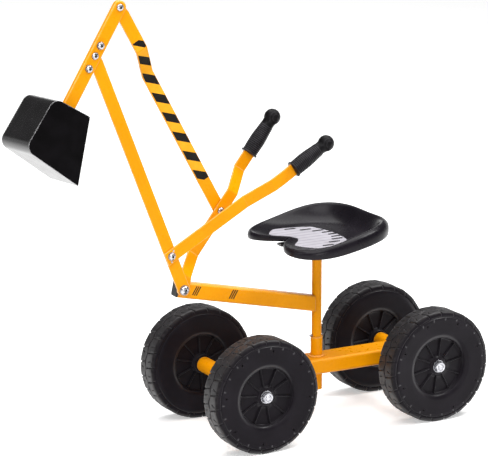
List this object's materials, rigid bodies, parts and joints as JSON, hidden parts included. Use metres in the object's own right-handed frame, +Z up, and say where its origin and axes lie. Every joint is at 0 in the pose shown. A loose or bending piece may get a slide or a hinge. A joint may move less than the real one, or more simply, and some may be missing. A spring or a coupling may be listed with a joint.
{
  "type": "ride-on toy excavator",
  "caption": "Sit-on sand digger: four-wheel chassis, swivelling seat and beam, and a lever-worked boom, dipper arm and bucket.",
  "frame": {"origin": "on the ground, in the middle of the machine's overall length and width", "axes": "+X forward, the way the bucket reaches; +Y to the rider's left; +Z up"},
  "size_m": [0.7738, 0.2606, 0.7022],
  "materials": {
    "orange_paint": "gloss powder coat",
    "black_paint": "gloss powder coat",
    "seat_plastic": "satin moulded",
    "wheel_plastic": "satin moulded",
    "grip_rubber": "soft, ribbed",
    "black_plastic": "moulded",
    "zinc_steel": "bright zinc plate"
  },
  "bodies": {
    "chassis": {"chassis_beam": "orange_paint", "front_axle_tube": "orange_paint", "rear_axle_tube": "orange_paint", "front_axle_rod": "zinc_steel", "rear_axle_rod": "zinc_steel", "front_tube_end_bushes": "black_plastic", "rear_tube_end_bushes": "black_plastic", "front_axle_washers": "zinc_steel", "rear_axle_washers": "zinc_steel", "front_axle_nuts": "zinc_steel", "rear_axle_nuts": "zinc_steel", "swivel_socket": "orange_paint", "swivel_base_ring": "orange_paint", "swivel_washer": "orange_paint"},
    "seat_and_beam": {"seat_post": "orange_paint", "stop_pin": "zinc_steel", "base_beam": "orange_paint", "beam_end_plug": "black_plastic", "pivot_sleeve": "zinc_steel", "base_pivot_screw": "zinc_steel", "base_pivot_washers": "zinc_steel", "seat_bracket": "black_paint", "seat_pan": "seat_plastic", "seat_screws": "zinc_steel"},
    "boom": {"boom_bar": "orange_paint", "left_handle_bar": "orange_paint", "left_grip": "grip_rubber", "handle_screw": "zinc_steel", "handle_screw_washer": "zinc_steel", "handle_nut": "zinc_steel", "handle_locating_pins": "zinc_steel"},
    "right_lever": {"right_lever_bar": "orange_paint", "right_grip": "grip_rubber", "lever_link_screw": "zinc_steel", "lever_link_washers": "zinc_steel", "lever_link_nut": "zinc_steel"},
    "link": {"link_bar": "orange_paint"},
    "dipper_and_bucket": {"dipper_arm": "orange_paint", "elbow_screw": "zinc_steel", "elbow_nut": "zinc_steel", "elbow_washers": "zinc_steel", "link_top_screw": "zinc_steel", "link_top_nut": "zinc_steel", "link_top_washers": "zinc_steel", "dipper_stop_screws": "zinc_steel", "dipper_stop_washers": "zinc_steel", "dipper_stop_nuts": "zinc_steel", "dipper_spacers": "zinc_steel", "bucket_shell": "black_paint", "bucket_left_side": "black_paint", "bucket_right_side": "black_paint", "bucket_bracket": "black_paint", "bucket_screws": "zinc_steel", "bucket_nuts": "zinc_steel"},
    "front_left_wheel": {"wheel_front_left": "wheel_plastic"},
    "front_right_wheel": {"wheel_front_right": "wheel_plastic"},
    "rear_left_wheel": {"wheel_rear_left": "wheel_plastic"},
    "rear_right_wheel": {"wheel_rear_right": "wheel_plastic"}
  },
  "joints": [
    {"name": "swivel", "type": "hinge", "parent": "chassis", "child": "seat_and_beam", "pos_m": [-0.13667, 0, 0.133], "axis": [0, 0, 1], "continuous": true},
    {"name": "boom_lift", "type": "hinge", "parent": "seat_and_beam", "child": "boom", "pos_m": [0.10863, 0.01485, 0.2451], "axis": [0, 1, 0], "range_deg": [-5, 82]},
    {"name": "lever_curl", "type": "hinge", "parent": "boom", "child": "right_lever", "pos_m": [0.10863, 0.0118, 0.2451], "axis": [0, 1, 0], "range_deg": [-14, 6]},
    {"name": "link_swing", "type": "hinge", "parent": "right_lever", "child": "link", "pos_m": [0.03043, -0.0124, 0.3559], "axis": [0, 1, 0], "range_deg": [-6.2, 14.2]},
    {"name": "dipper_curl", "type": "hinge", "parent": "boom", "child": "dipper_and_bucket", "pos_m": [0.25693, 0.01485, 0.6226], "axis": [0, 1, 0], "range_deg": [-23.7, 10.3]},
    {"name": "front_left_spin", "type": "hinge", "parent": "chassis", "child": "front_left_wheel", "pos_m": [0.02363, 0.106, 0.09], "axis": [0, 1, 0], "continuous": true},
    {"name": "front_right_spin", "type": "hinge", "parent": "chassis", "child": "front_right_wheel", "pos_m": [0.02363, -0.106, 0.09], "axis": [0, 1, 0], "continuous": true},
    {"name": "rear_left_spin", "type": "hinge", "parent": "chassis", "child": "rear_left_wheel", "pos_m": [-0.29697, 0.093, 0.09], "axis": [0, 1, 0], "continuous": true},
    {"name": "rear_right_spin", "type": "hinge", "parent": "chassis", "child": "rear_right_wheel", "pos_m": [-0.29697, -0.093, 0.09], "axis": [0, 1, 0], "continuous": true}
  ],
  "couplings": [
    {"joint": "dipper_curl", "follows": "lever_curl", "ratio": 1.681},
    {"joint": "link_swing", "follows": "lever_curl", "ratio": -0.991}
  ]
}
